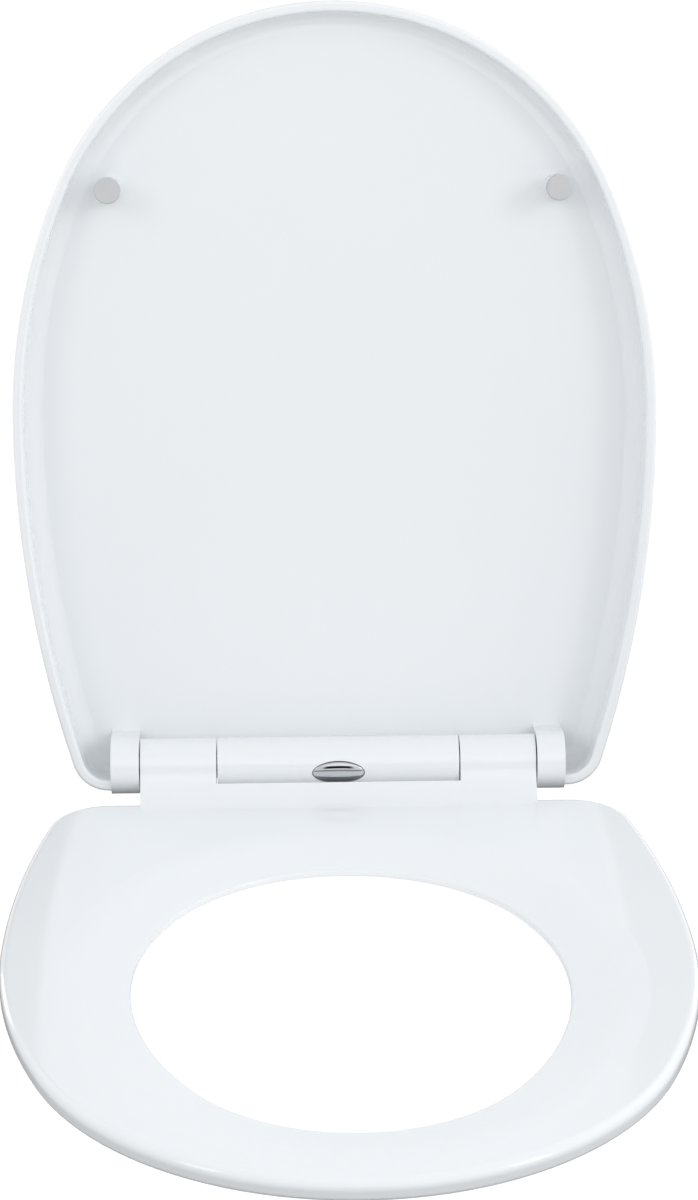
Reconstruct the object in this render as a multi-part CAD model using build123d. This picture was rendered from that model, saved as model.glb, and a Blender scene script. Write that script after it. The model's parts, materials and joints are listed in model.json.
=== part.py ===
from build123d import *
import os
from math import acos, atan2, cos, radians, sin, sqrt

# A soft-close toilet seat: a ring and a lid that turn on one hinge axis, carried by a fixed
# hinge block that clips onto two posts on the bowl and lets go when its button is pressed.
# Millimetres and degrees. X runs across the bowl, Y to the back and Z up. The origin lies on
# the bowl's top face, midway between its two fixing holes. The ring is down, the lid is open.

# Fixing holes and hinge axis
BOLT_SPACING = 155.0
AXIS_Y = 2.0
AXIS_Z = 35.8
LID_OPEN = 103.0
BARREL_RADIUS = 15.2

# Plan outline of the lid, measured forwards from the hinge axis
HALF_WIDTH = 185.0
FRONT = 439.0
WIDEST = 202.0
FRONT_NARROWING = 13.0
HINGE_HALF_WIDTH = 153.5

# Running gaps
SIDE_GAP = 0.7
SHAFT_GAP = 0.05
SEAT_GAP = 0.1
LOOSE_GAP = 0.3

# Widths along the hinge axis, outside the hinge block
TOWER_WIDTH = 44.2
EAR_WIDTH = 16.4

# Ring
RING_INSET = 1.0
RING_TOP = 23.0
RING_HEIGHT = 10.5
RING_BACK = 24.0
RING_CORNER = 34.0
RING_WALL = 6.0
RING_SKIN = 5.0
RING_EDGE = 5.0
RING_FOOT = 2.5
RAMP_RADIUS = 21.0
POCKET_FRONT = 18.5

# Hole in the ring: its back and widest place are measured forwards from the hinge axis
RING_SIDE = 70.6
RING_FRONT = 57.5
HOLE_BACK = 103.0
HOLE_WIDEST = 235.0
HOLE_FRONT_NARROWING = 15.5
HOLE_BACK_NARROWING = 6.3
DISH_LAND = 19.5
DISH_DEPTH = 7.0
DISH_ROUND = 80.0
HOLE_EDGE = 1.5
HOLE_FOOT = 1.2

# Lid
LID_BACK = 13.3
LID_CORNER = 21.5
LID_WALL = 6.0
LID_PLATE = 4.6
LID_INSIDE = 16.7
LID_DROP = 13.0
LID_EDGE = 9.0
LID_INNER_EDGE = 10.0
LID_RIM_GAP = 1.5
LID_RIM_ROUND = 2.0
EAR_RADIUS = 16.8
EAR_BLEND = 2.0

# Rubber buffers of the lid and bumpers of the ring
BUFFER_RADIUS = 7.5
BUFFER_HEIGHT = 5.0
BUFFER_INSET = 27.3
BUFFER_BEARING = 27.45
BUFFER_STEM_RADIUS = 3.0
BUFFER_STEM = 6.0
BUMPER_LENGTH = 34.0
BUMPER_WIDTH = 13.0
BUMPER_PEG_RADIUS = 2.5
BUMPER_PEG = 5.0
BUMPER_PEG_PITCH = 18.0
BUMPER_BOSS_WALL = 3.0
FRONT_BUMPER_FROM_FRONT = 96.0
FRONT_BUMPER_FROM_SIDE = 67.0
FRONT_BUMPER_TURN = 48.0
BACK_BUMPER_BEHIND_WIDEST = 55.0
BACK_BUMPER_FROM_SIDE = 36.0
BACK_BUMPER_TURN = 84.0

# Hinge block
COVER_WALL = 2.5
COVER_BOTTOM = 6.0
COVER_HALF_DEPTH = 13.2
CAVITY_TOP = 26.0
BUTTON_BAY = 17.5
SCREW_FROM_END = 7.0
SCREW_Y = 7.6
SCREW_RADIUS = 1.45
SCREW_HEAD_RADIUS = 2.3
SCREW_HEAD = 1.8
SCREW_LENGTH = 11.0
SCREW_BOSS_RADIUS = 2.5
CHASSIS_PLATE = 3.0
CHASSIS_PAD_WIDTH = 15.6
CHASSIS_PAD_TOP = 17.5

# Rotary dampers and hinge shafts
DAMPER_RADIUS = 10.0
DAMPER_FLAT = 8.5
DAMPER_START = 19.0
DAMPER_END_WALL = 3.0
DAMPER_CHAMBER_RADIUS = 8.0
DAMPER_CAP = 5.0
STATOR_ANGLE = 28.0
VANE_ANGLE = 28.0
VANE_MIDWAY = 90.0
SHAFT_RADIUS = 5.0
SHAFT_FLATS = 8.0
PIN_RADIUS = 4.0
PIN_FLATS = 6.4
BUSH_WALL = 2.0

# Release button and latches
BUTTON_HALF_WIDTH = 15.0
BUTTON_HALF_HEIGHT = 6.5
BUTTON_GAP = 0.35
BUTTON_PROUD = 0.3
BUTTON_DOME = 0.7
BUTTON_ROUND = 0.6
BUTTON_DEPTH = 5.0
BUTTON_FLANGE = 3.0
BUTTON_TRAVEL = 3.5
BUTTON_LEG_HALF = 5.0
LATCH_THICKNESS = 3.0
LATCH_HALF_WIDTH = 6.3
WEDGE_REACH = 7.0
SPRING_ROOM = 7.0
SPRING_RADIUS = 2.3
SPRING_WIRE = 0.35
SPRING_TURNS = 3.5
SPRING_STOP_WALL = 2.5
SPRING_STOP_FROM_END = 3.8

# Posts, base plates and bowl fixings
POST_FROM_END = 21.3
POST_RADIUS = 5.0
POST_GROOVE_RADIUS = 3.5
POST_TOP = 25.0
POST_TIP = 2.0
POST_RIVET_RADIUS = 3.0
PLATE_THICKNESS = 4.0
PLATE_END_RADIUS = 13.0
GASKET_THICKNESS = 1.5
BOLT_RADIUS = 3.0
BOLT_SHANK_RADIUS = 2.65
BOLT_HOLE_GAP = 0.2
BOLT_HEAD_RADIUS = 5.8
BOLT_HEAD = 3.4
BOLT_HEAD_CLEAR = 1.3
BOLT_SLOT_WIDTH = 1.6
BOLT_SLOT_DEPTH = 1.5
BOLT_LENGTH = 48.0
CLAMP_DEPTH = 16.0
WASHER_RADIUS = 12.0
WASHER_TOP_RADIUS = 7.0
WASHER_HEIGHT = 7.0
NUT_HUB_RADIUS = 8.0
NUT_HEIGHT = 10.0
NUT_SPAN = 38.0
NUT_WING = 4.0

# Worked out from the sizes above
RING_BOTTOM = RING_TOP - RING_HEIGHT
LID_RIM = RING_TOP + LID_RIM_GAP
FRONT_RADIUS = HALF_WIDTH - FRONT_NARROWING
HOLE_HALF_WIDTH = HALF_WIDTH - RING_SIDE
HOLE_FRONT = FRONT - RING_FRONT
DISH_WIDTH = RING_FRONT - RING_INSET - RING_EDGE - DISH_LAND
HOLE_FRONT_RADIUS = HOLE_HALF_WIDTH - HOLE_FRONT_NARROWING
HOLE_BACK_RADIUS = HOLE_HALF_WIDTH - HOLE_BACK_NARROWING
BUFFER_REACH = FRONT_RADIUS - BUFFER_INSET
BUFFER_FORWARD = FRONT - FRONT_RADIUS + BUFFER_REACH * sin(radians(BUFFER_BEARING))
BUFFER_SIDE = BUFFER_REACH * cos(radians(BUFFER_BEARING))
PLATE_TOP = GASKET_THICKNESS + PLATE_THICKNESS
BOLT_X = BOLT_SPACING / 2
BLOCK_HALF = BOLT_X - BOLT_HEAD_RADIUS - BOLT_HEAD_CLEAR
POST_X = BLOCK_HALF - POST_FROM_END
SCREW_X = BLOCK_HALF - SCREW_FROM_END
SPRING_STOP = BLOCK_HALF - SPRING_STOP_FROM_END - SPRING_STOP_WALL
LATCH_END = SPRING_STOP - SPRING_ROOM
TOWER_INNER = BLOCK_HALF + SIDE_GAP
TOWER_OUTER = TOWER_INNER + TOWER_WIDTH
EAR_INNER = TOWER_OUTER + SIDE_GAP
EAR_OUTER = EAR_INNER + EAR_WIDTH
COVER_INSIDE = COVER_HALF_DEPTH - COVER_WALL
DAMPER_CAP_OUT = BLOCK_HALF - SEAT_GAP
DAMPER_CAP_IN = DAMPER_CAP_OUT - DAMPER_CAP
LATCH_BOTTOM = CHASSIS_PAD_TOP + SEAT_GAP
LATCH_TOP = LATCH_BOTTOM + LATCH_THICKNESS
HINGE = Axis((0, AXIS_Y, AXIS_Z), (1, 0, 0))
SIDES = {"left": -1, "right": 1}
BUMPER_ENDS = {
    "front": (HALF_WIDTH - FRONT_BUMPER_FROM_SIDE, FRONT - FRONT_BUMPER_FROM_FRONT, FRONT_BUMPER_TURN),
    "back": (HALF_WIDTH - BACK_BUMPER_FROM_SIDE, WIDEST - BACK_BUMPER_BEHIND_WIDEST, BACK_BUMPER_TURN),
}
LARGE = 2 * FRONT


def forward(distance):
    """Y of a place that lies this far in front of the hinge axis."""
    return AXIS_Y - distance


def arc_about(centre, radius, start, end):
    """Arc about a centre, the short way round from start to end."""
    outwards = (Vector(*start) + Vector(*end)) / 2 - Vector(*centre)
    middle = Vector(*centre) + outwards.normalized() * radius
    return ThreePointArc(start, middle, end)


def flank(half_width, widest, end_radius, end_centre):
    """Side arc that meets a round end smoothly: its centre, radius and the meeting point."""
    run = abs(end_centre - widest)
    radius = (run**2 + half_width**2 - end_radius**2) / (2 * (half_width - end_radius))
    centre = (half_width - radius, forward(widest))
    angle = atan2(forward(end_centre) - centre[1], -centre[0])
    meeting = (end_radius * cos(angle), forward(end_centre) + end_radius * sin(angle))
    return centre, radius, meeting


def mirrored(point):
    return (-point[0], point[1])


def seat_plan(back, corner, inset=0.0):
    """Outline of lid or ring, straight across the back and cut off at a distance behind the axis."""
    end_centre = FRONT - FRONT_RADIUS
    centre, radius, meeting = flank(HALF_WIDTH, WIDEST, FRONT_RADIUS, end_centre)
    narrowing = HALF_WIDTH - HINGE_HALF_WIDTH
    rear_radius = (WIDEST**2 + narrowing**2) / (2 * narrowing)
    rear_centre = (HALF_WIDTH - rear_radius, forward(WIDEST))
    run = WIDEST + back
    rear = (rear_centre[0] + sqrt(rear_radius**2 - run**2), forward(-back))
    side = (HALF_WIDTH, forward(WIDEST))
    edges = [
        Line(mirrored(rear), rear),
        arc_about(rear_centre, rear_radius, rear, side),
        arc_about(centre, radius, side, meeting),
        arc_about((0, forward(end_centre)), FRONT_RADIUS, meeting, mirrored(meeting)),
        arc_about(mirrored(centre), radius, mirrored(meeting), mirrored(side)),
        arc_about(mirrored(rear_centre), rear_radius, mirrored(side), mirrored(rear)),
    ]
    face = make_face(edges)
    if inset:
        face = offset(face, amount=-inset)
    corners = face.vertices().sort_by(Axis.Y)[-2:]
    return fillet(corners, corner)


def hole_plan(grow=0.0):
    """Egg-shaped outline of the ring's hole, or one larger all round."""
    half_width = HOLE_HALF_WIDTH + grow
    front_centre = HOLE_FRONT - HOLE_FRONT_RADIUS
    back_centre = HOLE_BACK + HOLE_BACK_RADIUS
    front_radius = HOLE_FRONT_RADIUS + grow
    back_radius = HOLE_BACK_RADIUS + grow
    f_centre, f_radius, f_meet = flank(half_width, HOLE_WIDEST, front_radius, front_centre)
    b_centre, b_radius, b_meet = flank(half_width, HOLE_WIDEST, back_radius, back_centre)
    side = (half_width, forward(HOLE_WIDEST))
    edges = [
        arc_about((0, forward(back_centre)), back_radius, mirrored(b_meet), b_meet),
        arc_about(b_centre, b_radius, b_meet, side),
        arc_about(f_centre, f_radius, side, f_meet),
        arc_about((0, forward(front_centre)), front_radius, f_meet, mirrored(f_meet)),
        arc_about(mirrored(f_centre), f_radius, mirrored(f_meet), mirrored(side)),
        arc_about(mirrored(b_centre), b_radius, mirrored(side), mirrored(b_meet)),
    ]
    return make_face(edges)


def across(profile, start, end):
    """Profile drawn in Y and Z, made solid along X from start to end."""
    low, high = sorted((start, end))
    plane = Plane((low, 0, 0), x_dir=(0, 1, 0), z_dir=(1, 0, 0))
    return extrude(plane * profile, high - low)


def rod(radius, start, end):
    """Round bar on the hinge axis."""
    return across(Pos(AXIS_Y, AXIS_Z) * Circle(radius), start, end)


def flatted(radius, flats):
    """Round section with two flats, drawn in Y and Z on the hinge axis."""
    return Pos(AXIS_Y, AXIS_Z) * (Circle(radius) & Rectangle(flats, 2 * radius))


def upright(radius, x, y, low, high):
    """Round bar along Z."""
    return extrude(Pos(x, y, low) * Circle(radius), high - low)


def block(x_range, y_range, z_range):
    """Box between pairs of coordinates."""
    sizes = [high - low for low, high in (x_range, y_range, z_range)]
    middle = [(high + low) / 2 for low, high in (x_range, y_range, z_range)]
    return Pos(*middle) * Box(*sizes)


def ramp_centre():
    """Centre of the hollow round between the hinge barrel and the ring's top face."""
    rise = RING_TOP + RAMP_RADIUS - AXIS_Z
    reach = sqrt((BARREL_RADIUS + RAMP_RADIUS) ** 2 - rise**2)
    return (forward(reach), RING_TOP + RAMP_RADIUS)


def ramp_profile(rear, low):
    """Slope in front of the barrel down to the ring's top, from Y of its rear face."""
    centre = ramp_centre()
    drop = sqrt(RAMP_RADIUS**2 - (rear - centre[0]) ** 2)
    foot = (centre[0], RING_TOP)
    crest = (rear, centre[1] - drop)
    return make_face(
        [
            arc_about(centre, RAMP_RADIUS, foot, crest),
            Line(crest, (rear, low)),
            Line((rear, low), (foot[0], low)),
            Line((foot[0], low), foot),
        ]
    )


def tower_profile():
    """Hinge barrel with its ramp in front and a straight back down to the ring's foot."""
    centre = ramp_centre()
    axis = Vector(AXIS_Y, AXIS_Z)
    towards = (Vector(*centre) - axis).normalized()
    touch = axis + towards * BARREL_RADIUS
    foot = (centre[0], RING_TOP)
    heel = Vector(forward(RING_BACK), RING_BOTTOM)
    reach = heel - axis
    swing = atan2(reach.Y, reach.X) + acos(BARREL_RADIUS / reach.length)
    tangent = axis + Vector(cos(swing), sin(swing)) * BARREL_RADIUS
    crown = axis + Vector(0, BARREL_RADIUS)
    rear = (AXIS_Y + BARREL_RADIUS, AXIS_Z)
    return make_face(
        [
            arc_about(centre, RAMP_RADIUS, foot, (touch.X, touch.Y)),
            ThreePointArc(touch, crown, rear),
            arc_about((AXIS_Y, AXIS_Z), BARREL_RADIUS, rear, (tangent.X, tangent.Y)),
            Line(tangent, heel),
            Line(heel, (foot[0], RING_BOTTOM)),
            Line((foot[0], RING_BOTTOM), foot),
        ]
    )


def stadium(length, width):
    return SlotOverall(length, width)


def bumper_place(end, side):
    """Place of a bumper: under the ring, turned along it."""
    x, distance, turn = BUMPER_ENDS[end]
    return Pos(side * x, forward(distance), 0) * Rot(0, 0, -side * turn)


def bumper_places():
    return [bumper_place(end, side) for end in BUMPER_ENDS for side in SIDES.values()]


def is_round_hole(edge, height, grow):
    """Whether an edge lies at this height on the hole's outline, or on one larger all round."""
    outline = (Pos(0, 0, height) * hole_plan(grow)).wire()
    return max(outline.distance_to(edge @ 0.5), outline.distance_to(edge @ 0.2)) < SEAT_GAP


def seat_ring():
    plan = seat_plan(-RING_BACK, RING_CORNER, RING_INSET)
    body = extrude(Pos(0, 0, RING_BOTTOM) * plan, RING_HEIGHT)
    body = fillet(body.faces().sort_by(Axis.Z)[-1].edges(), RING_EDGE)
    dish_low = Pos(0, 0, RING_TOP - DISH_DEPTH) * hole_plan()
    dish_high = Pos(0, 0, RING_TOP) * hole_plan(DISH_WIDTH)
    body -= loft([dish_low, dish_high], ruled=True)
    body -= extrude(Pos(0, 0, RING_BOTTOM) * hole_plan(), RING_HEIGHT)
    brow = [edge for edge in body.edges() if is_round_hole(edge, RING_TOP, DISH_WIDTH)]
    body = fillet(brow, DISH_ROUND)
    lip = [edge for edge in body.edges() if is_round_hole(edge, RING_TOP - DISH_DEPTH, 0)]
    body = fillet(lip, HOLE_EDGE)
    body = fillet(body.faces().sort_by(Axis.Z)[0].outer_wire().edges(), RING_FOOT)
    body = fillet(body.faces().sort_by(Axis.Z)[0].inner_wires()[0].edges(), HOLE_FOOT)
    for side in SIDES.values():
        body += across(tower_profile(), side * TOWER_INNER, side * TOWER_OUTER)
    pocket = forward(POCKET_FRONT)
    body += across(ramp_profile(pocket, RING_BOTTOM), -TOWER_INNER, TOWER_INNER)
    hollow = offset(plan, amount=-RING_WALL) - hole_plan(DISH_WIDTH)
    body -= extrude(Pos(0, 0, RING_BOTTOM) * hollow, RING_HEIGHT - RING_SKIN)
    for place in bumper_places():
        boss = stadium(BUMPER_LENGTH + 2 * BUMPER_BOSS_WALL, BUMPER_WIDTH + 2 * BUMPER_BOSS_WALL)
        body += place * extrude(Pos(0, 0, RING_BOTTOM) * boss, RING_HEIGHT - RING_SKIN)
        for end in (-1, 1):
            peg = Pos(end * BUMPER_PEG_PITCH / 2, 0, RING_BOTTOM) * Circle(BUMPER_PEG_RADIUS + SHAFT_GAP)
            body -= place * extrude(peg, BUMPER_PEG + SEAT_GAP)
    body -= across(flatted(SHAFT_RADIUS + SHAFT_GAP, SHAFT_FLATS + 2 * SHAFT_GAP), -TOWER_OUTER, -TOWER_INNER)
    body -= rod(SHAFT_RADIUS + SHAFT_GAP + BUSH_WALL + SHAFT_GAP, TOWER_INNER, TOWER_OUTER)
    return body


def seat_bumper(place):
    pad = extrude(stadium(BUMPER_LENGTH, BUMPER_WIDTH), RING_BOTTOM)
    pad = fillet(pad.faces().sort_by(Axis.Z)[0].edges(), RING_EDGE / 2)
    peg_top = RING_BOTTOM + BUMPER_PEG
    for end in (-1, 1):
        pad += upright(BUMPER_PEG_RADIUS, end * BUMPER_PEG_PITCH / 2, 0, RING_BOTTOM, peg_top)
    return place * pad


def lid_top(thickness):
    """Space under the lid's gently curved top, or under its inside face, drawn in Y and Z."""
    radius = (FRONT**2 + LID_DROP**2) / (2 * LID_DROP)
    crown = AXIS_Z + LID_INSIDE + LID_PLATE - thickness
    low = LID_RIM - 2 * LID_PLATE
    reach = FRONT + LID_PLATE
    rear = (forward(-reach), crown - radius + sqrt(radius**2 - reach**2))
    front = (forward(reach), rear[1])
    return make_face(
        [
            ThreePointArc(rear, (AXIS_Y, crown), front),
            Line(front, (front[0], low)),
            Line((front[0], low), (rear[0], low)),
            Line((rear[0], low), rear),
        ]
    )


def lid_inside(distance):
    """Height of the lid's inside face above the hinge axis, this far in front of it."""
    radius = (FRONT**2 + LID_DROP**2) / (2 * LID_DROP)
    return LID_INSIDE - radius + sqrt(radius**2 - distance**2)


def lid_shell(plan, thickness, low, edge):
    body = extrude(Pos(0, 0, low) * plan, LARGE) & across(lid_top(thickness), -HALF_WIDTH, HALF_WIDTH)
    return fillet(body.faces().sort_by(Axis.Z)[-1].edges(), edge)


def buffer_end():
    """Height at which a lid buffer stops short of the ring's top."""
    return RING_TOP + LOOSE_GAP


def ear_web():
    """Web between the lid's hinge barrel and its inside face, drawn in Y and Z."""
    front = forward(EAR_RADIUS)
    rear = forward(-EAR_RADIUS)
    high = AXIS_Z + LID_INSIDE
    root = high + LID_PLATE / 4
    start = (front, high - EAR_BLEND)
    end = (front - EAR_BLEND, high)
    return make_face(
        [
            arc_about((end[0], start[1]), EAR_BLEND, start, end),
            Line(end, (end[0], root)),
            Line((end[0], root), (rear, root)),
            Line((rear, root), (rear, AXIS_Z)),
            Line((rear, AXIS_Z), (front, AXIS_Z)),
            Line((front, AXIS_Z), start),
        ]
    )


def closed_lid():
    plan = seat_plan(LID_BACK, LID_CORNER)
    outside = lid_shell(plan, 0, LID_RIM, LID_EDGE)
    body = outside - lid_shell(offset(plan, amount=-LID_WALL), LID_PLATE, LID_RIM - LID_PLATE, LID_INNER_EDGE)
    body = fillet(body.faces().sort_by(Axis.Z)[0].edges(), LID_RIM_ROUND)
    body -= block((-EAR_INNER, EAR_INNER), (AXIS_Y, LARGE), (0, AXIS_Z + LID_INSIDE))
    for side in SIDES.values():
        body += across(ear_web(), side * EAR_INNER, side * EAR_OUTER) & outside
        body += rod(EAR_RADIUS, side * EAR_INNER, side * EAR_OUTER)
        boss_x = side * BUFFER_SIDE
        boss_y = forward(BUFFER_FORWARD)
        boss_top = AXIS_Z + lid_inside(BUFFER_FORWARD) + LID_PLATE / 3
        boss_low = buffer_end() + BUFFER_HEIGHT
        stem_end = boss_low + BUFFER_STEM + SEAT_GAP
        body += upright(BUFFER_RADIUS, boss_x, boss_y, boss_low, boss_top)
        body -= upright(BUFFER_STEM_RADIUS + SHAFT_GAP, boss_x, boss_y, boss_low, stem_end)
    body -= rod(PIN_RADIUS + SHAFT_GAP + BUSH_WALL + SHAFT_GAP, -EAR_OUTER, -EAR_INNER)
    body -= across(flatted(PIN_RADIUS + SHAFT_GAP, PIN_FLATS + 2 * SHAFT_GAP), EAR_INNER, EAR_OUTER)
    return body


def closed_buffer(side):
    low = buffer_end()
    x = side * BUFFER_SIDE
    y = forward(BUFFER_FORWARD)
    pad = upright(BUFFER_RADIUS, x, y, low, low + BUFFER_HEIGHT)
    pad = chamfer(pad.faces().sort_by(Axis.Z)[0].edges(), BUFFER_HEIGHT / 8)
    return pad + upright(BUFFER_STEM_RADIUS, x, y, low + BUFFER_HEIGHT, low + BUFFER_HEIGHT + BUFFER_STEM)


def opened(shape):
    """Turn a piece of the closed lid to where it stands open."""
    return shape.rotate(HINGE, -LID_OPEN)


def cover_profile(wall):
    """Arched section of the hinge block, or its inside at a wall's thickness."""
    low = COVER_BOTTOM - COVER_WALL
    depth = COVER_HALF_DEPTH - wall
    leg = Pos(0, (AXIS_Z + low) / 2) * Rectangle(2 * depth, AXIS_Z - low)
    return Pos(AXIS_Y, AXIS_Z) * Circle(BARREL_RADIUS - wall) + leg


def damper_section(radius, flat):
    """Round damper body with a flat below that keeps it from turning."""
    keep = Pos(0, (radius - flat) / 2) * Rectangle(2 * radius, radius + flat)
    return Pos(AXIS_Y, AXIS_Z) * (Circle(radius) & keep)


def button_oval(grow=0.0):
    return Ellipse(BUTTON_HALF_WIDTH + grow, BUTTON_HALF_HEIGHT + grow)


def from_front(profile, y, length):
    """Profile drawn in X and Z about the axis height, made solid towards the back from Y."""
    plane = Plane((0, y, AXIS_Z), x_dir=(1, 0, 0), z_dir=(0, -1, 0))
    return extrude(plane * profile, -length)


def hinge_cover():
    body = across(cover_profile(0), -BLOCK_HALF, BLOCK_HALF)
    body &= block((-LARGE, LARGE), (-LARGE, LARGE), (COVER_BOTTOM, LARGE))
    inner_x = BLOCK_HALF - COVER_WALL
    body -= block((-inner_x, inner_x), (-COVER_INSIDE, COVER_INSIDE), (0, CAVITY_TOP))
    body -= across(cover_profile(COVER_WALL), -BUTTON_BAY, BUTTON_BAY)
    for side in SIDES.values():
        bore = damper_section(DAMPER_RADIUS + SHAFT_GAP, DAMPER_FLAT + SHAFT_GAP)
        body -= across(bore, side * (DAMPER_START - SEAT_GAP), side * BLOCK_HALF)
        for depth in (-1, 1):
            x, y = side * SCREW_X, depth * SCREW_Y
            foot = PLATE_TOP + CHASSIS_PLATE + SEAT_GAP
            screw_end = PLATE_TOP + SCREW_HEAD + SCREW_LENGTH + SEAT_GAP
            wide = SCREW_BOSS_RADIUS
            rib = block((x - wide, x + wide), sorted((y, depth * COVER_HALF_DEPTH)), (foot, AXIS_Z))
            post = upright(wide, x, y, foot, CAVITY_TOP) + (rib & across(cover_profile(0), -LARGE, LARGE))
            body += post - block((-LARGE, LARGE), (-LARGE, LARGE), (CAVITY_TOP, LARGE))
            body -= upright(SCREW_RADIUS + SHAFT_GAP / 2, x, y, foot, screw_end)
    front = AXIS_Y - BARREL_RADIUS
    body -= from_front(button_oval(BUTTON_GAP), front - COVER_WALL, 4 * COVER_WALL)
    return body


def hinge_chassis():
    end_x = BLOCK_HALF - COVER_WALL - LOOSE_GAP
    depth = COVER_INSIDE - LOOSE_GAP
    plate_high = PLATE_TOP + CHASSIS_PLATE
    body = block((-end_x, end_x), (-depth, depth), (PLATE_TOP, plate_high))
    guide = LATCH_HALF_WIDTH + SEAT_GAP
    for side in SIDES.values():
        pad_x = sorted((side * (POST_X - CHASSIS_PAD_WIDTH / 2), side * (POST_X + CHASSIS_PAD_WIDTH / 2)))
        body += block(pad_x, (-depth, depth), (plate_high, LATCH_TOP))
        body -= block(pad_x, (-guide, guide), (CHASSIS_PAD_TOP, LATCH_TOP))
        body -= upright(POST_RADIUS + SHAFT_GAP, side * POST_X, 0, PLATE_TOP, CHASSIS_PAD_TOP)
        stop_x = sorted((side * SPRING_STOP, side * (SPRING_STOP + SPRING_STOP_WALL)))
        stop_y = SPRING_RADIUS + SPRING_STOP_WALL / 2
        body += block(stop_x, (-stop_y, stop_y), (plate_high, LATCH_TOP + SPRING_RADIUS))
        for back in (-1, 1):
            x, y = side * SCREW_X, back * SCREW_Y
            body -= upright(SCREW_RADIUS + SHAFT_GAP, x, y, PLATE_TOP, plate_high)
            body -= upright(SCREW_HEAD_RADIUS + SEAT_GAP, x, y, PLATE_TOP, PLATE_TOP + SCREW_HEAD)
    return body


def chassis_screws():
    screws = []
    for side in SIDES.values():
        for depth in (-1, 1):
            x, y = side * SCREW_X, depth * SCREW_Y
            head = upright(SCREW_HEAD_RADIUS, x, y, PLATE_TOP, PLATE_TOP + SCREW_HEAD)
            seat = PLATE_TOP + SCREW_HEAD
            screws.append(head + upright(SCREW_RADIUS, x, y, seat, seat + SCREW_LENGTH))
    return Compound(screws)


def sector(radius, angle):
    """Pie slice about the hinge axis that opens upwards, drawn in Y and Z."""
    half = radians(angle / 2)
    left = (-radius * sin(half), radius * cos(half))
    right = (radius * sin(half), radius * cos(half))
    face = make_face([Line((0, 0), right), ThreePointArc(right, (0, radius), left), Line(left, (0, 0))])
    return Pos(AXIS_Y, AXIS_Z) * face


def damper_body(side):
    inner = side * DAMPER_START
    chamber = side * (DAMPER_START + DAMPER_END_WALL)
    outer = side * DAMPER_CAP_IN
    shell = across(damper_section(DAMPER_RADIUS, DAMPER_FLAT), inner, outer)
    ribs = across(sector(DAMPER_CHAMBER_RADIUS, STATOR_ANGLE), chamber, outer)
    ribs += ribs.rotate(HINGE, 180)
    ribs -= rod(SHAFT_RADIUS + SEAT_GAP, chamber, outer)
    return shell - rod(DAMPER_CHAMBER_RADIUS, chamber, outer) + ribs


def damper_cap(side):
    disc = across(damper_section(DAMPER_RADIUS, DAMPER_FLAT), side * DAMPER_CAP_IN, side * DAMPER_CAP_OUT)
    return disc - rod(SHAFT_RADIUS + SHAFT_GAP, side * DAMPER_CAP_IN, side * DAMPER_CAP_OUT)


def vanes(side, turn):
    """Two paddles of a damper's rotor, turned from upright about the hinge axis."""
    chamber = side * (DAMPER_START + DAMPER_END_WALL + SEAT_GAP)
    outer = side * (DAMPER_CAP_IN - SEAT_GAP)
    paddle = across(sector(DAMPER_CHAMBER_RADIUS - SEAT_GAP, VANE_ANGLE), chamber, outer)
    paddle += paddle.rotate(HINGE, 180)
    return paddle.rotate(HINGE, turn) + rod(SHAFT_RADIUS, chamber, outer)


def seat_rotor():
    """Left shaft: keyed into the ring's tower, with a round pin on which the lid's ear turns."""
    start = -DAMPER_CAP_IN + SEAT_GAP
    shaft = rod(SHAFT_RADIUS, start, -TOWER_INNER)
    shaft += across(flatted(SHAFT_RADIUS, SHAFT_FLATS), -TOWER_INNER, -TOWER_OUTER)
    shaft += rod(PIN_RADIUS, -TOWER_OUTER, -EAR_OUTER)
    return shaft + vanes(-1, VANE_MIDWAY + LID_OPEN / 2)


def closed_lid_rotor():
    """Right shaft: free in the ring's tower and keyed into the lid's ear."""
    start = DAMPER_CAP_IN - SEAT_GAP
    shaft = rod(SHAFT_RADIUS, start, TOWER_OUTER)
    shaft += across(flatted(PIN_RADIUS, PIN_FLATS), TOWER_OUTER, EAR_OUTER)
    return shaft + vanes(1, VANE_MIDWAY + LID_OPEN / 2)


def bush(bore, start, end):
    return rod(bore + BUSH_WALL, start, end) - rod(bore, start, end)


def button_dome():
    """Barrel about the hinge axis that is a little fuller in the middle than at the button's ends."""
    wide = BUTTON_HALF_WIDTH
    low = BARREL_RADIUS + BUTTON_PROUD
    profile = make_face(
        [
            ThreePointArc((-wide, low), (0, low + BUTTON_DOME), (wide, low)),
            Line((wide, low), (wide, 0)),
            Line((wide, 0), (-wide, 0)),
            Line((-wide, 0), (-wide, low)),
        ]
    )
    plane = Plane((0, AXIS_Y, AXIS_Z), x_dir=(1, 0, 0), z_dir=(0, 1, 0))
    return revolve(plane * profile, HINGE)


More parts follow.
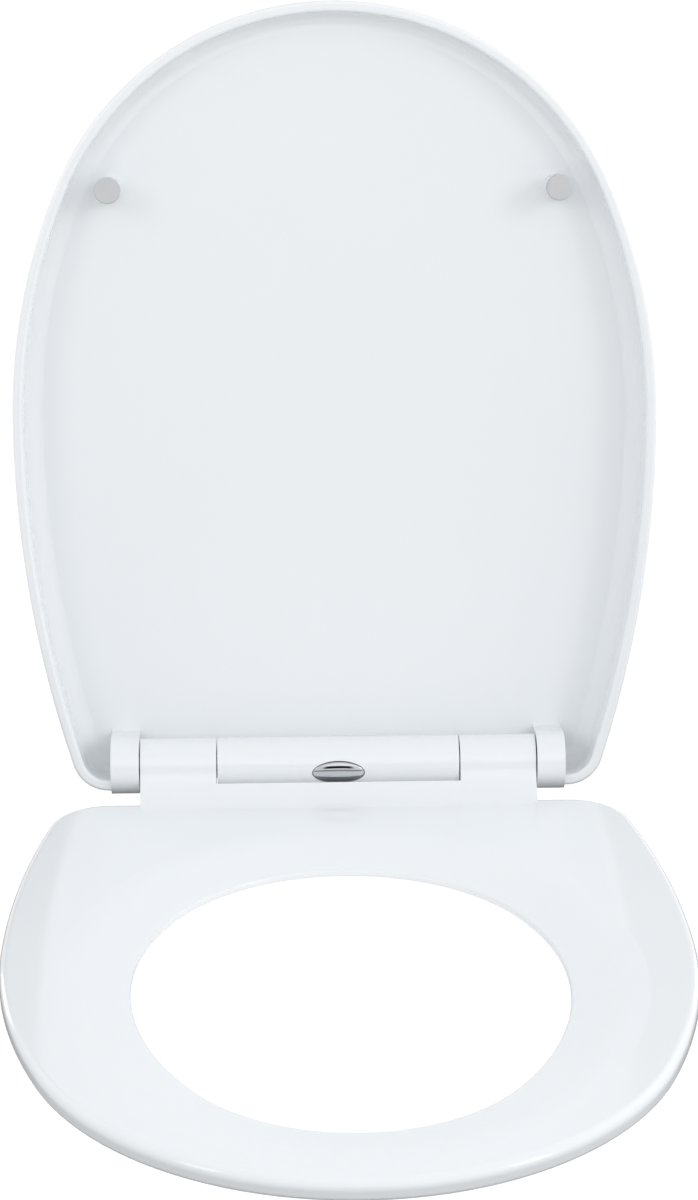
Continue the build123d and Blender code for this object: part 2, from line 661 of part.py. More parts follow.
def release_button():
    front = AXIS_Y - BARREL_RADIUS
    cap = from_front(button_oval(), front - BUTTON_PROUD - BUTTON_DOME, BUTTON_DEPTH + BUTTON_DOME)
    cap &= button_dome()
    cap = fillet(cap.faces().sort_by(Axis.Y)[0].edges(), BUTTON_ROUND)
    inside = cover_profile(COVER_WALL + LOOSE_GAP)
    flange_front = COVER_INSIDE - LOOSE_GAP
    flange = across(inside, -BUTTON_BAY + LOOSE_GAP, BUTTON_BAY - LOOSE_GAP)
    flange_low = AXIS_Z - BUTTON_HALF_HEIGHT - BUTTON_FLANGE
    flange_high = AXIS_Z + BUTTON_HALF_HEIGHT / 2
    flange &= block((-LARGE, LARGE), (-flange_front, BUTTON_FLANGE - flange_front), (flange_low, flange_high))
    rear = BUTTON_FLANGE - flange_front
    leg = block((-BUTTON_LEG_HALF, BUTTON_LEG_HALF), (-flange_front, rear), (LATCH_BOTTOM, flange_low))
    wide = WEDGE_REACH - rear
    end = LATCH_HALF_WIDTH
    tip = WEDGE_REACH - end
    plan = make_face(Polyline((-wide, rear), (wide, rear), (tip, end), (-tip, end), close=True))
    wedge = extrude(Pos(0, 0, LATCH_BOTTOM) * plan, LATCH_THICKNESS)
    return cap + flange + leg + wedge


def latch(side):
    """Sliding plate: a keyhole that grips the post, and a slanted end pushed by the button."""
    half = LATCH_HALF_WIDTH
    clear = SEAT_GAP * sqrt(2)
    plan = make_face(
        Polyline(
            (WEDGE_REACH + half + clear, -half),
            (LATCH_END, -half),
            (LATCH_END, half),
            (WEDGE_REACH - half + clear, half),
            close=True,
        )
    )
    grip = POST_GROOVE_RADIUS + 2 * SEAT_GAP
    plan -= Pos(POST_X, 0) * Circle(grip)
    plan -= Pos(POST_X - BUTTON_TRAVEL, 0) * Circle(POST_RADIUS + LOOSE_GAP)
    plan -= Pos(POST_X - BUTTON_TRAVEL / 2, 0) * Rectangle(BUTTON_TRAVEL, 2 * grip)
    body = extrude(Pos(0, 0, LATCH_BOTTOM) * plan, LATCH_THICKNESS)
    return body if side > 0 else mirror(body, Plane.YZ)


def latch_spring(side):
    start = LATCH_END + SPRING_WIRE + SEAT_GAP / 2
    length = SPRING_STOP - LATCH_END - 2 * SPRING_WIRE - SEAT_GAP
    height = (LATCH_BOTTOM + LATCH_TOP) / 2
    path = Helix(length / SPRING_TURNS, length, SPRING_RADIUS, center=(start, 0, height), direction=(1, 0, 0))
    section = Plane(path @ 0, z_dir=path % 0) * Circle(SPRING_WIRE)
    coil = sweep(section, path=path)
    return coil if side > 0 else mirror(coil, Plane.YZ)


def post(side):
    x = side * POST_X
    pin = upright(POST_RADIUS, x, 0, PLATE_TOP, POST_TOP)
    pin = chamfer(pin.faces().sort_by(Axis.Z)[-1].edges(), POST_TIP)
    groove = upright(POST_RADIUS, x, 0, LATCH_BOTTOM - LOOSE_GAP, LATCH_TOP + LOOSE_GAP)
    groove -= upright(POST_GROOVE_RADIUS, x, 0, LATCH_BOTTOM - LOOSE_GAP, LATCH_TOP + LOOSE_GAP)
    return pin - groove + upright(POST_RIVET_RADIUS, x, 0, GASKET_THICKNESS, PLATE_TOP)


def plate_plan(side):
    span = BOLT_X - POST_X
    return Pos(side * (BOLT_X + POST_X) / 2, 0) * SlotCenterToCenter(span, 2 * PLATE_END_RADIUS)


def base_plate(side):
    body = extrude(Pos(0, 0, GASKET_THICKNESS) * plate_plan(side), PLATE_THICKNESS)
    body -= upright(BOLT_RADIUS + BOLT_HOLE_GAP, side * BOLT_X, 0, 0, PLATE_TOP)
    return body - upright(POST_RIVET_RADIUS + SHAFT_GAP, side * POST_X, 0, 0, PLATE_TOP)


def gasket(side):
    body = extrude(plate_plan(side), GASKET_THICKNESS)
    return body - upright(BOLT_RADIUS + BOLT_HOLE_GAP, side * BOLT_X, 0, 0, GASKET_THICKNESS)


def bolt(side):
    x = side * BOLT_X
    top = PLATE_TOP + BOLT_HEAD
    head = upright(BOLT_HEAD_RADIUS, x, 0, PLATE_TOP, top)
    head = fillet(head.faces().sort_by(Axis.Z)[-1].edges(), BOLT_HEAD / 2)
    head -= block((-LARGE, LARGE), (-BOLT_SLOT_WIDTH / 2, BOLT_SLOT_WIDTH / 2), (top - BOLT_SLOT_DEPTH, top))
    body = head + upright(BOLT_RADIUS, x, 0, 0, PLATE_TOP)
    body += upright(BOLT_SHANK_RADIUS, x, 0, -CLAMP_DEPTH, 0)
    return body + upright(BOLT_RADIUS, x, 0, PLATE_TOP - BOLT_LENGTH, -CLAMP_DEPTH)


def bowl_washer(side):
    x = side * BOLT_X
    low = -CLAMP_DEPTH - WASHER_HEIGHT
    cone = Pos(x, 0, low + WASHER_HEIGHT / 2) * Cone(WASHER_RADIUS, WASHER_TOP_RADIUS, WASHER_HEIGHT)
    return cone - upright(BOLT_RADIUS + BOLT_HOLE_GAP, x, 0, low, -CLAMP_DEPTH)


def wing_nut(side):
    x = side * BOLT_X
    high = -CLAMP_DEPTH - WASHER_HEIGHT - SEAT_GAP
    low = high - NUT_HEIGHT
    hub = upright(NUT_HUB_RADIUS, x, 0, low, high)
    wings = Pos(x, 0, (low + high) / 2) * Box(NUT_WING, NUT_SPAN, NUT_HEIGHT)
    wings = fillet(wings.edges().filter_by(Axis.X), NUT_HEIGHT / 3)
    return hub + wings - upright(BOLT_RADIUS + SHAFT_GAP, x, 0, low, high)


nodes = {
    "hinge_cover": hinge_cover(),
    "hinge_chassis": hinge_chassis(),
    "chassis_screws": chassis_screws(),
    "release_button": release_button(),
    "seat_ring": seat_ring(),
    "seat_rotor": seat_rotor(),
    "seat_bush": bush(SHAFT_RADIUS + SHAFT_GAP, TOWER_INNER, TOWER_OUTER),
    "lid": opened(closed_lid()),
    "lid_rotor": opened(closed_lid_rotor()),
    "lid_bush": opened(bush(PIN_RADIUS + SHAFT_GAP, -EAR_OUTER, -EAR_INNER)),
}
for name, side in SIDES.items():
    for end in BUMPER_ENDS:
        nodes[f"seat_bumper_{end}_{name}"] = seat_bumper(bumper_place(end, side))
    nodes["damper_body_" + name] = damper_body(side)
    nodes["damper_cap_" + name] = damper_cap(side)
    nodes["latch_" + name] = latch(side)
    nodes["latch_spring_" + name] = latch_spring(side)
    nodes["post_" + name] = post(side)
    nodes["base_plate_" + name] = base_plate(side)
    nodes["gasket_" + name] = gasket(side)
    nodes["bolt_" + name] = bolt(side)
    nodes["bowl_washer_" + name] = bowl_washer(side)
    nodes["wing_nut_" + name] = wing_nut(side)
    nodes["lid_buffer_" + name] = opened(closed_buffer(side))

os.makedirs("parts", exist_ok=True)
for name, shape in nodes.items():
    export_step(shape, f"parts/{name}.step")
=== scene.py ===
# %% [markdown]
# This lesson dresses a white toilet seat whose ring and lid close softly. Its solids come from the
# construction model, each piece at its real size and place in metres. Blender adds what those
# solids lack: finishes, spring coils that stay with the chassis, bolts with a thread, a camera, a
# floor and light. The box round the bare solids is measured first, and the floor is set just below
# it.

# %% Load the frame
import json
import math

import bmesh
import bpy
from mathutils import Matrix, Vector

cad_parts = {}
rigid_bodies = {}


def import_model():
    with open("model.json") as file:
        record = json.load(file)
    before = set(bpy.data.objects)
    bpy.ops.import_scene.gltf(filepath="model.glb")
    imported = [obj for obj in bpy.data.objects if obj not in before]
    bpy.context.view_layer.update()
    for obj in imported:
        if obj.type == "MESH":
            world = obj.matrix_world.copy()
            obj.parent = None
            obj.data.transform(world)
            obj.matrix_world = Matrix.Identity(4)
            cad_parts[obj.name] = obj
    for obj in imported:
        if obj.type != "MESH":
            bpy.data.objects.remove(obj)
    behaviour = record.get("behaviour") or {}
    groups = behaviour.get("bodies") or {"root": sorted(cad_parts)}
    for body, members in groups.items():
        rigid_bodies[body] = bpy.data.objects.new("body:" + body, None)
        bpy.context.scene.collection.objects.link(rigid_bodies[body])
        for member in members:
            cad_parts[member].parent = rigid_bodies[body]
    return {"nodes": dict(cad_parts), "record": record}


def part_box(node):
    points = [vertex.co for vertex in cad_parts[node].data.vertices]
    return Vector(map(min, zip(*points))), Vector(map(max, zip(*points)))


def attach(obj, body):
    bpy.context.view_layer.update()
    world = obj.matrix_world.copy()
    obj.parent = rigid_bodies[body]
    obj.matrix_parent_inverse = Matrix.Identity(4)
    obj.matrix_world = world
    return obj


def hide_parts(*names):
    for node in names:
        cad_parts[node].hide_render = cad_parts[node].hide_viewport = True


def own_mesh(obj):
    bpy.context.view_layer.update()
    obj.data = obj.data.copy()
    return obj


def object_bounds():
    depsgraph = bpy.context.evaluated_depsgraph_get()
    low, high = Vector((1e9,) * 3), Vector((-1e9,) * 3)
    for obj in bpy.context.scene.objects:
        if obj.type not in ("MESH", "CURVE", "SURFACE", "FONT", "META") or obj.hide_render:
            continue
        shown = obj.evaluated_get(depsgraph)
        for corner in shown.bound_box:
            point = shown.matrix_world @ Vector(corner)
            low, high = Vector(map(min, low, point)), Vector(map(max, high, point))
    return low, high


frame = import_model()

cad_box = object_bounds()
nodes = frame["nodes"]

# %% [markdown]
# A finish is a small network of shader nodes. Wiring every node by hand takes many lines and hides
# the idea, so three small classes help. The first is a Wire. It stands for one output socket and
# turns sums and products into Math nodes, so that a mask can be written as 1 - grain.

# %% Wires between shader nodes


class Wire:
    """An output socket of a network, usable in sums and products."""

    def __init__(self, network, socket):
        self.network = network
        self.socket = socket

    def maths(self, operation, first, second=0):
        return self.network.add("ShaderNodeMath", {"operation": operation}, {0: first, 1: second})

    def __add__(self, other):
        return self.maths("ADD", self, other)

    def __radd__(self, other):
        return self.maths("ADD", other, self)

    def __sub__(self, other):
        return self.maths("SUBTRACT", self, other)

    def __rsub__(self, other):
        return self.maths("SUBTRACT", other, self)

    def __mul__(self, other):
        return self.maths("MULTIPLY", self, other)

    def __rmul__(self, other):
        return self.maths("MULTIPLY", other, self)

    def __abs__(self):
        return self.maths("ABSOLUTE", self)


# %% [markdown]
# A Network is a node tree. Its method add makes any node: it sets the node's options first, then
# feeds its sockets with constants or wires. The other methods are short names for nodes that the
# finishes and the room use often. Colours go through a Mix node, because a Math node turns them grey.

# %% Networks of shader nodes


class Network:
    """A node tree with one method that adds any node and joins its sockets."""

    def __init__(self, tree):
        self.tree = tree

    def add(self, kind, settings=None, inputs=None, output=0):
        node = self.tree.nodes.new(kind)
        for name, value in (settings or {}).items():
            setattr(node, name, value)
        for name, value in (inputs or {}).items():
            self.feed(node.inputs[name], value)
        return Wire(self, node.outputs[output])

    def feed(self, socket, value):
        """Link a wire to the socket, or set the socket to a constant."""
        if isinstance(value, Wire):
            self.tree.links.new(value.socket, socket)
        else:
            socket.default_value = value

    def tint(self, mask, dark, light):
        """Colour that runs from dark to light as the mask goes from 0 to 1."""
        ends = {"Factor": mask, "A": (*dark, 1), "B": (*light, 1)}
        return self.add("ShaderNodeMix", {"data_type": "RGBA"}, ends, output="Result")

    def ease(self, value, span, first=0, last=1):
        """Go smoothly from first to last while the value crosses the span."""
        ends = {"From Min": span[0], "From Max": span[1], "To Min": first, "To Max": last}
        smooth = {"interpolation_type": "SMOOTHSTEP"}
        return self.add("ShaderNodeMapRange", smooth, {"Value": value, **ends})

    def along(self, place, axis):
        """One coordinate of a place or a direction."""
        return self.add("ShaderNodeSeparateXYZ", {}, {"Vector": place}, output=axis)


# %% [markdown]
# A Finish is the network of one material. Its patterns read Object coordinates, which are metres in
# the frame, so a grain has the same size on every piece and stays put when a piece moves.

# %% Finishes


class Finish(Network):
    """A material with its Principled shader."""

    def __init__(self, name, **constants):
        self.name = name
        self.material = bpy.data.materials.new(name)
        self.material.use_nodes = True
        super().__init__(self.material.node_tree)
        self.shader = self.tree.nodes["Principled BSDF"]
        self.place = self.add("ShaderNodeTexCoord", output="Object")
        self.set(**constants)

    def set(self, **inputs):
        """Feed the shader's own sockets, with spaces written as underscores."""
        for name, value in inputs.items():
            self.feed(self.shader.inputs[name.replace("_", " ")], value)

    def noise(self, scale, detail=2.0, stretch=(1, 1, 1)):
        """Cloudy values between 0 and 1, with features of about 1/scale metres."""
        spot = self.add("ShaderNodeMapping", {}, {"Vector": self.place, "Scale": stretch})
        return self.add("ShaderNodeTexNoise", {}, {"Vector": spot, "Scale": scale, "Detail": detail})

    def bump(self, height, distance, strength=1.0):
        ridges = {"Height": height, "Distance": distance, "Strength": strength}
        self.set(Normal=self.add("ShaderNodeBump", {}, ridges, output="Normal"))

    def done(self):
        """Report the finish and hand over its material."""
        print("finish:", self.name, "with", len(self.tree.nodes), "shader nodes")
        return self.material


# %% [markdown]
# The lid, the ring and the hinge cover are pressed from white thermoset and polished in the tool.
# Such a surface is almost a mirror at low angles and almost a matt white from above. A plain white
# shader would look like paper, so the finish has a low roughness that drifts a little across the
# piece, a cool white that is never quite even, and the faint ripple of a pressed skin.

# %% White gloss moulding

MOULDING_SHADES = (0.85, 0.872, 0.888), (0.868, 0.89, 0.904)
MOULDING_ROUGHNESS = 0.07
FLOW_DULLING = 0.03
RIPPLE_DULLING = 0.02


def white_moulding():
    finish = Finish("white_moulding", IOR=1.5)
    flow = finish.noise(scale=7.0)
    ripple = finish.noise(scale=220.0, detail=3.0)
    finish.set(
        Base_Color=finish.tint(flow, *MOULDING_SHADES),
        Roughness=MOULDING_ROUGHNESS + flow * FLOW_DULLING + ripple * RIPPLE_DULLING,
    )
    finish.bump(ripple, distance=0.00001, strength=0.3)
    return finish.done()


finishes = {"white_moulding": white_moulding()}

# %% [markdown]
# The hidden plastic pieces are injection moulded and left as they fall. Their skin is satin, with
# the fine grain of an eroded tool. One recipe serves both the white and the near-black plastic,
# because only shade and roughness differ.

# %% Satin plastics

PLASTIC_GRAIN_DULLING = 0.12


def satin_plastic(name, dark, light, roughness):
    finish = Finish(name, IOR=1.47)
    cloud = finish.noise(scale=40.0)
    grain = finish.noise(scale=2500.0, detail=4.0)
    finish.set(
        Base_Color=finish.tint(cloud, dark, light),
        Roughness=roughness + grain * PLASTIC_GRAIN_DULLING,
    )
    finish.bump(grain, distance=0.00003, strength=0.5)
    return finish.done()


finishes["white_plastic"] = satin_plastic(
    "white_plastic", dark=(0.74, 0.75, 0.75), light=(0.8, 0.81, 0.81), roughness=0.34,
)
finishes["damper_plastic"] = satin_plastic(
    "damper_plastic", dark=(0.02, 0.02, 0.022), light=(0.04, 0.04, 0.043), roughness=0.38,
)

# %% [markdown]
# Buffers, bumpers, gaskets and washers are rubber: dull, a little dusty, and rough at a scale that
# can just be felt. The dust is a cloud of a lighter shade, and the grain is a bump.

# %% Rubbers

RUBBER_ROUGHNESS = 0.62
RUBBER_GRAIN_DULLING = 0.2


def rubber(name, dark, light):
    finish = Finish(name, IOR=1.5)
    dust = finish.noise(scale=90.0, detail=4.0)
    grain = finish.noise(scale=1800.0, detail=3.0)
    finish.set(
        Base_Color=finish.tint(dust, dark, light),
        Roughness=RUBBER_ROUGHNESS + grain * RUBBER_GRAIN_DULLING,
    )
    finish.bump(grain, distance=0.00004, strength=0.6)
    return finish.done()


finishes["grey_rubber"] = rubber("grey_rubber", (0.52, 0.527, 0.535), (0.58, 0.587, 0.595))
finishes["white_rubber"] = rubber("white_rubber", (0.66, 0.66, 0.64), (0.72, 0.72, 0.7))
finishes["black_rubber"] = rubber("black_rubber", (0.018, 0.018, 0.018), (0.04, 0.04, 0.04))

# %% [markdown]
# Steel pieces are drawn, stamped or turned, and keep fine lines from that. Noise that is squeezed
# along one direction gives such lines without any picture.

# %% Steel

STEEL_SHADES = (0.56, 0.56, 0.57), (0.68, 0.68, 0.69)
STEEL_ROUGHNESS = 0.24
LINE_DULLING = 0.16


def drawn_steel():
    finish = Finish("steel", Metallic=1.0)
    lines = finish.noise(scale=60.0, detail=4.0, stretch=(40, 40, 2))
    cloud = finish.noise(scale=35.0)
    finish.set(
        Base_Color=finish.tint(cloud, *STEEL_SHADES),
        Roughness=STEEL_ROUGHNESS + lines * LINE_DULLING,
    )
    finish.bump(lines, distance=0.00002, strength=0.4)
    return finish.done()


finishes["steel"] = drawn_steel()

# %% [markdown]
# The release button is plated with chrome, a mirror with hardly any colour of its own, so it shows
# what stands before it. Its solid is curved mostly about the hinge axis. A bump adds a slight crown
# that falls away towards the rim on all sides, and bends what the button mirrors into a crescent.

# %% Chrome

CHROME_SHADES = (0.56, 0.57, 0.59), (0.6, 0.61, 0.63)
CHROME_ROUGHNESS = 0.05
HAZE_DULLING = 0.03
BUTTON_HALF_WIDTH = 0.015
BUTTON_HALF_HEIGHT = 0.0065
BUTTON_CROWN = 0.0004
HINGE_HEIGHT = 0.0358


def polished_chrome():
    finish = Finish("chrome", Metallic=1.0)
    haze = finish.noise(scale=120.0, detail=3.0)
    finish.set(
        Base_Color=finish.tint(haze, *CHROME_SHADES),
        Roughness=CHROME_ROUGHNESS + haze * HAZE_DULLING,
    )
    across = finish.along(finish.place, "X") * (1 / BUTTON_HALF_WIDTH)
    upright = (finish.along(finish.place, "Z") - HINGE_HEIGHT) * (1 / BUTTON_HALF_HEIGHT)
    spread = across * across + upright * upright
    finish.bump(1 - spread * spread, distance=BUTTON_CROWN)
    return finish.done()


finishes["chrome"] = polished_chrome()

# %% [markdown]
# The record names a material slot for every node. Each slot has one finish, so that all pieces of
# one material match, and a new piece can take the finish of the node that it stands for.

# %% Give every piece its finish

slot_of = {part["node"]: part["material_slot"] for part in frame["record"]["subparts"]}
for name, node in nodes.items():
    node.data.materials.clear()
    node.data.materials.append(finishes[slot_of[name]])
print("finishes:", len(finishes), "on", len(nodes), "nodes")

# %% [markdown]
# The latch springs and the bolts need more than their plain solids give. Each new piece starts from
# its node's mesh, which is loose triangles, so a copy is merged before any other tool touches it.
# The finished piece then stands for the node: it has the node's finish and moves with its body.

# %% Helpers for new pieces

MERGE_DISTANCE = 0.000001


def merged_copy(name):
    """A node's triangles, joined where their corners meet."""
    shape = bmesh.new()
    shape.from_mesh(nodes[name].data)
    bmesh.ops.remove_doubles(shape, verts=shape.verts, dist=MERGE_DISTANCE)
    return shape


def stand_in(shape, name, ending, body):
    """Make the shape a piece that replaces the named node and moves with the body."""
    mesh = bpy.data.meshes.new(f"{name}_{ending}")
    shape.to_mesh(mesh)
    shape.free()
    mesh.materials.append(finishes[slot_of[name]])
    piece = bpy.data.objects.new(f"{name}_{ending}", mesh)
    bpy.context.scene.collection.objects.link(piece)
    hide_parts(name)
    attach(piece, body)
    print(piece.name, "has", len(mesh.polygons), "faces")
    return piece


# %% [markdown]
# Each latch is pushed home by a coil spring between it and the wall of the chassis. A spring that
# only rode along would run into that wall when the button is pressed, so its coil is copied and
# stays with the chassis. The share of its length that it would keep when the latch travels is
# worked out and printed, but the coil itself is not squashed.

# %% Latch springs

SIDES = ("left", "right")
joints = {joint["name"]: joint for joint in frame["record"]["behaviour"]["joints"]}

for side in SIDES:
    name = f"latch_spring_{side}"
    slide = joints[f"latch_{side}_slide"]
    travel = slide["range_m"][1]
    low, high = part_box(name)
    kept = 1 - travel / (high.x - low.x)
    spring = stand_in(merged_copy(name), name, "coil", slide["parent"])
    spring.data.shade_smooth()
    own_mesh(spring)
    print(name, "keeps", round(kept, 3), "of its length when the button is pressed")

# %% [markdown]
# Below the bowl, the bolts carry a thread of 1 mm pitch. One pitch of its outline, a flat root and a
# flat crest with two flanks, is spun about the bolt and lifted by one pitch a turn. The ribbons of
# neighbouring turns meet edge to edge, so merging their doubles gives one skin, which two cuts trim
# to length. A Screw modifier would do this too, but spin leaves a mesh that can be cut at once.

# %% Thread helpers

BOLT_RADIUS = 0.003
PITCH = 0.001
THREAD_DEPTH = 0.00055
THREAD_STEPS = 16
# Each corner of the outline is a share of the depth and a share of the pitch.
THREAD_OUTLINE = ((0, 0), (0, 0.15), (1, 0.45), (1, 0.7), (0, 1))
SPARE_TURNS = 2
CUT_TOLERANCE = PITCH / 100


def cut_level(shape, height, side):
    """Cut the shape at a height, drop what lies beyond it on that side and close the cut."""
    bmesh.ops.bisect_plane(
        shape,
        geom=shape.verts[:] + shape.edges[:] + shape.faces[:],
        plane_co=(0, 0, height),
        plane_no=(0, 0, side),
        clear_outer=True,
    )
    rim = [
        edge for edge in shape.edges
        if edge.is_boundary and abs(edge.verts[0].co.z - height) < CUT_TOLERANCE
    ]
    bmesh.ops.edgeloop_fill(shape, edges=rim)


def threaded_rod(x, low, high):
    """A rod with a thread about the upright line at x, from low to high."""
    rod = bmesh.new()
    root = BOLT_RADIUS - THREAD_DEPTH
    # The thread starts early and half a step off, so that no corner of it lies on a cut.
    start = low - (SPARE_TURNS + 0.5 / THREAD_STEPS) * PITCH
    corners = [
        rod.verts.new((x + root + depth * THREAD_DEPTH, 0, start + lift * PITCH))
        for depth, lift in THREAD_OUTLINE
    ]
    edges = [rod.edges.new(pair) for pair in zip(corners, corners[1:])]
    turns = math.ceil((high - low) / PITCH) + 2 * SPARE_TURNS
    bmesh.ops.spin(
        rod,
        geom=corners + edges,
        cent=(x, 0, 0),
        axis=(0, 0, 1),
        dvec=(0, 0, PITCH / THREAD_STEPS),
        angle=2 * math.pi * turns,
        steps=THREAD_STEPS * turns,
    )
    bmesh.ops.remove_doubles(rod, verts=rod.verts, dist=MERGE_DISTANCE)
    cut_level(rod, high, 1)
    cut_level(rod, low, -1)
    bmesh.ops.recalc_face_normals(rod, faces=rod.faces)
    return rod


# %% [markdown]
# A bolt keeps its head and shank from the solid, and has the threaded rod from the top of its rubber
# washer down. A hair's gap between rod and shank keeps the two closed shells apart. The faces stay
# flat, so that the flanks of the thread read crisply.

# %% Bolts

SHANK_GAP = PITCH / 10


def join(shape, other):
    """Add another bmesh to the shape, by way of a mesh that is then removed."""
    carrier = bpy.data.meshes.new("carrier")
    other.to_mesh(carrier)
    other.free()
    shape.from_mesh(carrier)
    bpy.data.meshes.remove(carrier)


for side in SIDES:
    name = f"bolt_{side}"
    low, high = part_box(name)
    shank_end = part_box(f"bowl_washer_{side}")[1].z
    screw = threaded_rod((low.x + high.x) / 2, low.z, shank_end)
    top = merged_copy(name)
    cut_level(top, shank_end + SHANK_GAP, -1)
    join(screw, top)
    bolt = stand_in(screw, name, "threaded", "hinge_block")
    bolt.data.shade_flat()
    print(name, "is threaded from", round(low.z, 4), "to", round(shank_end, 4))

# %% [markdown]
# The camera stands in front of the seat, above it and a little left of its middle, and looks down
# with a long lens. Its place was worked out from the outlines in the photo: how fast the ring widens
# towards the viewer gives the distance, and how much the lid is foreshortened gives the height.

# %% Camera

CAMERA_PLACE = (-0.0476, -1.7056, 0.8183)
LOOK_DOWN = math.radians(21.714)
LOOK_RIGHT = math.radians(1.817)
FOCAL_PIXELS = 3199.0
# The picture is taller than it is wide, so the sensor's size counts along its height.
IMAGE_HEIGHT = 1200.0
SENSOR = 36.0

camera_data = bpy.data.cameras.new("camera")
camera_data.sensor_width = SENSOR
camera_data.lens = FOCAL_PIXELS / IMAGE_HEIGHT * SENSOR
camera = bpy.data.objects.new("camera", camera_data)
camera.location = CAMERA_PLACE
camera.rotation_euler = (math.pi / 2 - LOOK_DOWN, 0, -LOOK_RIGHT)
bpy.context.scene.collection.objects.link(camera)
bpy.context.scene.camera = camera
print("camera: lens of", round(camera_data.lens, 1), "mm")

# %% [markdown]
# The stage is a wide floor just below the lowest bolt end. One big square is enough, because the
# camera looks down on it and doesn't see its edge.

# %% Floor

FLOOR_HALF = 12.0
FLOOR_DROP = 0.003

sheet = bmesh.new()
bmesh.ops.create_grid(sheet, x_segments=1, y_segments=1, size=FLOOR_HALF)
floor_mesh = bpy.data.meshes.new("floor")
sheet.to_mesh(floor_mesh)
sheet.free()
floor = bpy.data.objects.new("floor", floor_mesh)
floor.location.z = cad_box[0].z - FLOOR_DROP
bpy.context.scene.collection.objects.link(floor)
print("floor: at", round(floor.location.z, 4))

# %% [markdown]
# To the camera the floor is an even pale white. The light that it throws up at the seat is set apart
# from that, by asking whether a ray comes from the camera. Close round the seat the floor gives
# hardly any light, so the ring's wall darkens towards its lower edge. Below the hole and far off it
# is bright again.

# %% Floor finish

BLACK = (0, 0, 0)
WHITE = (1, 1, 1)
FLOOR_SHADES = (0.1, 0.1, 0.1), (0.11, 0.11, 0.11)
FLOOR_SEEN = 0.95
HOLE_MIDDLE = (0, -0.24, 0)
HOLE_EDGE = (0.14, 0.19)
SEAT_EDGE = (0.32, 0.7)
GLOW_BELOW_HOLE = 0.9
GLOW_ROUND_SEAT = 0.03
GLOW_FAR_OFF = 0.85

finish = Finish("floor", Roughness=0.9, Emission_Strength=1.0)
points = {0: finish.place, 1: HOLE_MIDDLE}
reach = finish.add("ShaderNodeVectorMath", {"operation": "DISTANCE"}, points, output="Value")
glow = finish.ease(reach, SEAT_EDGE, GLOW_ROUND_SEAT, GLOW_FAR_OFF)
glow = glow + finish.ease(reach, HOLE_EDGE, GLOW_BELOW_HOLE - GLOW_ROUND_SEAT, 0)
seen = finish.add("ShaderNodeLightPath", output="Is Camera Ray")
finish.set(
    Base_Color=finish.tint(finish.noise(scale=0.7), *FLOOR_SHADES),
    Emission_Color=finish.tint(glow + seen * (FLOOR_SEEN - glow), BLACK, WHITE),
)
floor_mesh.materials.append(finish.done())

# %% [markdown]
# White plastic needs soft light from nearly all round, and gloss can only be read by what it
# mirrors. The room is the world's background, painted by direction. In front is a wall with a
# window above it, brighter to the right. Overhead is a duller ceiling. Behind is a dull patch, which
# the polished ring mirrors beside the bright lid, so that its form can be read. A direction has
# coordinates from -1 to 1, and each pair below that isn't a light is a stretch of one of them, over
# which one brightness eases into the next.

# %% Room

FRONT_LIGHT = (0.86, 1.12)
FRONT_SPAN = (-0.7, 0.7)
LOW_WALL = 0.97
WINDOW = 1.3
WINDOW_SILL = (0.27, 0.33)
BACK_LIGHT = (0.1, 0.4)
BACK_SPAN = (-0.1, 0.14)
BACK_DEPTH = (0.66, 0.85)
BACK_FOOT = (0.16, 0.28)
CEILING = 0.72
CEILING_EDGE = (0.6, 0.85)
ROOM_TINT = (0.97, 0.985, 1.0)

world = bpy.data.worlds.new("studio")
world.use_nodes = True
bpy.context.scene.world = world
studio = Network(world.node_tree)
direction = studio.add("ShaderNodeTexCoord", output="Generated")
aside = studio.along(direction, "X")
depth = studio.along(direction, "Y")
height = studio.along(direction, "Z")
front = studio.ease(aside, FRONT_SPAN, *FRONT_LIGHT)
front = front * studio.ease(height, WINDOW_SILL, LOW_WALL, WINDOW)
back = studio.ease(aside, BACK_SPAN, *BACK_LIGHT)
behind = studio.ease(depth, BACK_DEPTH) * studio.ease(height, BACK_FOOT)
glow = front + behind * (back - front)
glow = glow + studio.ease(height, CEILING_EDGE) * (CEILING - glow)
print("room:", FRONT_LIGHT, "in front,", BACK_LIGHT, "behind and", CEILING, "overhead")

# %% [markdown]
# A chrome button in a white room would be white all over. A dark ledge low in front gives it
# something to mirror, and the crown bends that into a dark crescent. The ledge is narrow, so it
# takes little light from the lid. The camera itself sees none of this room, only plain white.

# %% Ledge and background

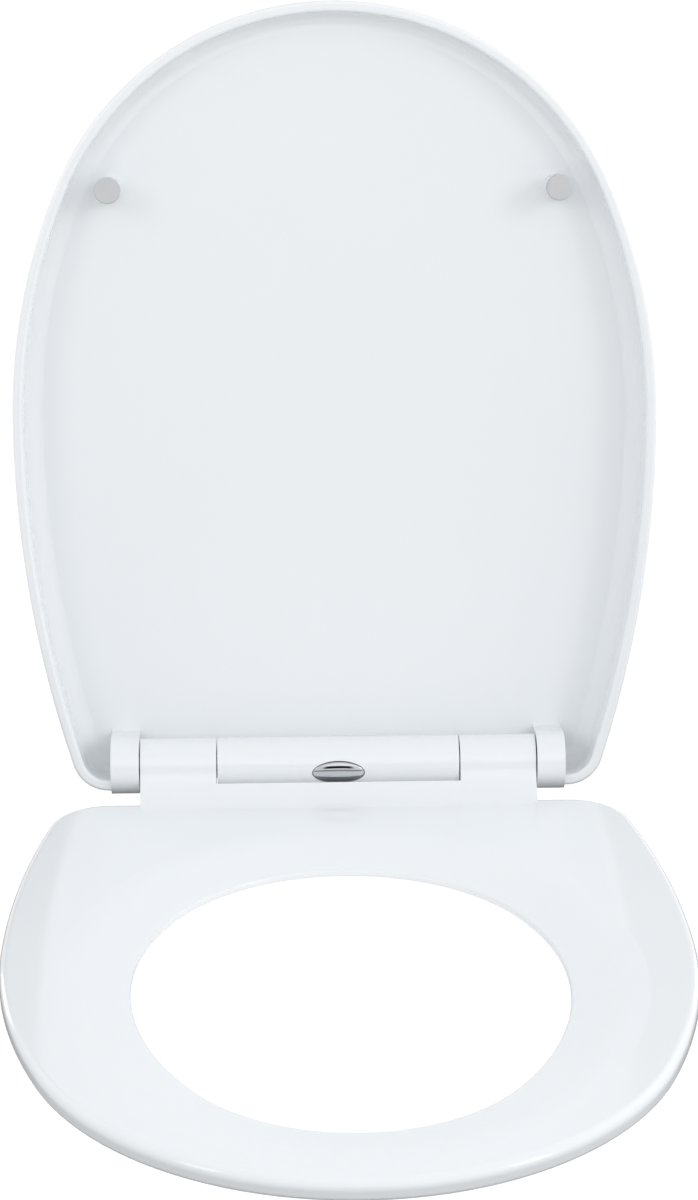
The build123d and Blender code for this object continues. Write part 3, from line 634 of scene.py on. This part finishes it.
LEDGE_HEIGHT = 0.155
LEDGE_HALF_HEIGHT = (0.125, 0.15)
LEDGE_ASIDE = 0.026
LEDGE_HALF_WIDTH = (0.12, 0.22)
LEDGE_DEPTH = (-0.3, 0)
LEDGE_DARKNESS = 0.98

ledge = studio.ease(abs(height - LEDGE_HEIGHT), LEDGE_HALF_HEIGHT, 1, 0)
ledge = ledge * studio.ease(abs(aside - LEDGE_ASIDE), LEDGE_HALF_WIDTH, 1, 0)
glow = glow * (1 - ledge * studio.ease(depth, LEDGE_DEPTH, LEDGE_DARKNESS, 0))
seen = studio.add("ShaderNodeLightPath", output="Is Camera Ray")
background = studio.tree.nodes["Background"]
studio.feed(background.inputs["Color"], studio.tint(seen, ROOM_TINT, WHITE))
studio.feed(background.inputs["Strength"], glow + seen * (1 - glow))
print("background:", len(studio.tree.nodes), "nodes")

# %% [markdown]
# Four softboxes stand in the room. The two in front add the small crisp highlights on the rounded
# edges, and the two low behind light the lid's back. A softbox is given by the brightness of its
# face, because that stays the same when its size changes.

# %% Softboxes

SOFTBOX_SIZE = (0.5, 0.9)
SOFTBOX_AIM = Vector((0, 0, 0.2))


def softbox(name, place, radiance):
    width, length = SOFTBOX_SIZE
    data = bpy.data.lights.new(name, "AREA")
    data.shape = "RECTANGLE"
    data.size = width
    data.size_y = length
    data.energy = radiance * math.pi * width * length
    lamp = bpy.data.objects.new(name, data)
    lamp.location = place
    lamp.rotation_euler = (SOFTBOX_AIM - lamp.location).to_track_quat("-Z", "Y").to_euler()
    bpy.context.scene.collection.objects.link(lamp)
    print("softbox:", name, "with", round(data.energy, 2), "W")


softbox("left", (-1.7, -1.5, 1.5), radiance=3.0)
softbox("right", (1.9, -1.4, 1.4), radiance=4.5)
softbox("back_left", (-1.8, 1.9, 0.45), radiance=2.5)
softbox("back_right", (1.8, 1.9, 0.45), radiance=2.5)

# %% [markdown]
# The standard view transform shows white as white, where Blender's own default would grey it.

# %% View transform

bpy.context.scene.view_settings.view_transform = "Standard"
print("view transform:", bpy.context.scene.view_settings.view_transform)
